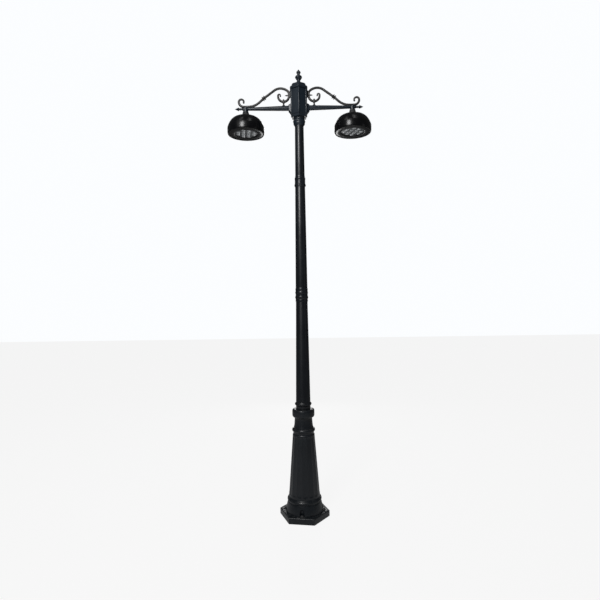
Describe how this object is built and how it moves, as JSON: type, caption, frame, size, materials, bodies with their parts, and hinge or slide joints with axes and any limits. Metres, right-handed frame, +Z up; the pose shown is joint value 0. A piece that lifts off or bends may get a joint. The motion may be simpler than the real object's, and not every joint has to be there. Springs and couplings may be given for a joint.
{
  "type": "lamp post",
  "caption": "Ornamental street lamp post: fluted foot, stepped round pole, hexagonal head, and two scrolled arms with pendant lamps.",
  "frame": {"origin": "on the ground at the centre of the foot, on the pole's axis", "axes": "+Z up along the pole; X along the two arms; -Y is the front"},
  "size_m": [0.9677, 0.3108, 3],
  "materials": {
    "cast_paint": "satin black powder coat",
    "forged_paint": "dark grey paint on forged bar",
    "gloss_black": "gloss black",
    "steel": "galvanised",
    "bare_aluminium": "extruded",
    "clear_lens": "clear polycarbonate",
    "board_white": "white solder mask",
    "grey_plastic": "moulded",
    "cable_black": "matt sheath"
  },
  "bodies": {
    "post": {"foot_casting": "cast_paint", "anchor_bolt_1": "steel", "anchor_bolt_2": "steel", "anchor_bolt_3": "steel", "anchor_bolt_4": "steel", "gear_strap": "steel", "screw_lug": "steel", "terminal_box": "grey_plastic", "collar_casting": "cast_paint", "lower_pole": "cast_paint", "middle_pole": "cast_paint", "upper_pole": "cast_paint", "lower_coupling": "cast_paint", "upper_coupling": "cast_paint", "riser_cable": "cable_black"},
    "head": {"arm_cable_left": "cable_black", "arm_cable_right": "cable_black", "arm_left": "cast_paint", "arm_right": "cast_paint", "arm_tip_left": "cast_paint", "arm_tip_right": "cast_paint", "cable_connector": "grey_plastic", "finial": "cast_paint", "head_block": "cast_paint", "head_cap": "cast_paint", "head_set_screw_1": "steel", "head_set_screw_2": "steel", "head_socket": "cast_paint", "hub_screw_left": "steel", "hub_screw_right": "steel", "scroll_foot_left": "forged_paint", "scroll_foot_right": "forged_paint", "scroll_knop_left": "forged_paint", "scroll_knop_right": "forged_paint", "scroll_left": "forged_paint", "scroll_pad_left": "forged_paint", "scroll_pad_right": "forged_paint", "scroll_right": "forged_paint"},
    "lamp_left": {"lamp_stem_left": "cast_paint", "crown_plate_left": "forged_paint", "lamp_housing_left": "gloss_black", "heat_sink_left": "bare_aluminium", "led_driver_left": "grey_plastic", "led_board_left": "board_white", "lens_plate_left": "clear_lens", "bezel_ring_left": "gloss_black"},
    "lamp_right": {"lamp_stem_right": "cast_paint", "crown_plate_right": "forged_paint", "lamp_housing_right": "gloss_black", "heat_sink_right": "bare_aluminium", "led_driver_right": "grey_plastic", "led_board_right": "board_white", "lens_plate_right": "clear_lens", "bezel_ring_right": "gloss_black"},
    "hatch_door": {"hatch_door": "cast_paint"},
    "hatch_screw": {"hatch_screw": "steel"}
  },
  "joints": [
    {"name": "head_swivel", "type": "hinge", "parent": "post", "child": "head", "pos_m": [0, 0, 2.65], "axis": [0, 0, 1], "range_deg": [-170, 170]},
    {"name": "lamp_left_turn", "type": "hinge", "parent": "head", "child": "lamp_left", "pos_m": [-0.36, 0, 2.72], "axis": [0, 0, 1], "range_deg": [-170, 170]},
    {"name": "lamp_right_turn", "type": "hinge", "parent": "head", "child": "lamp_right", "pos_m": [0.36, 0, 2.72], "axis": [0, 0, 1], "range_deg": [-170, 170]},
    {"name": "hatch_door_pull", "type": "slide", "parent": "post", "child": "hatch_door", "axis": [0.134, 0.991, 0], "range_m": [0, 0.12]},
    {"name": "hatch_screw_turn", "type": "hinge", "parent": "hatch_door", "child": "hatch_screw", "pos_m": [0.01072, 0.07928, 0.362], "axis": [0.134, 0.991, 0], "range_deg": [0, 1080]}
  ]
}
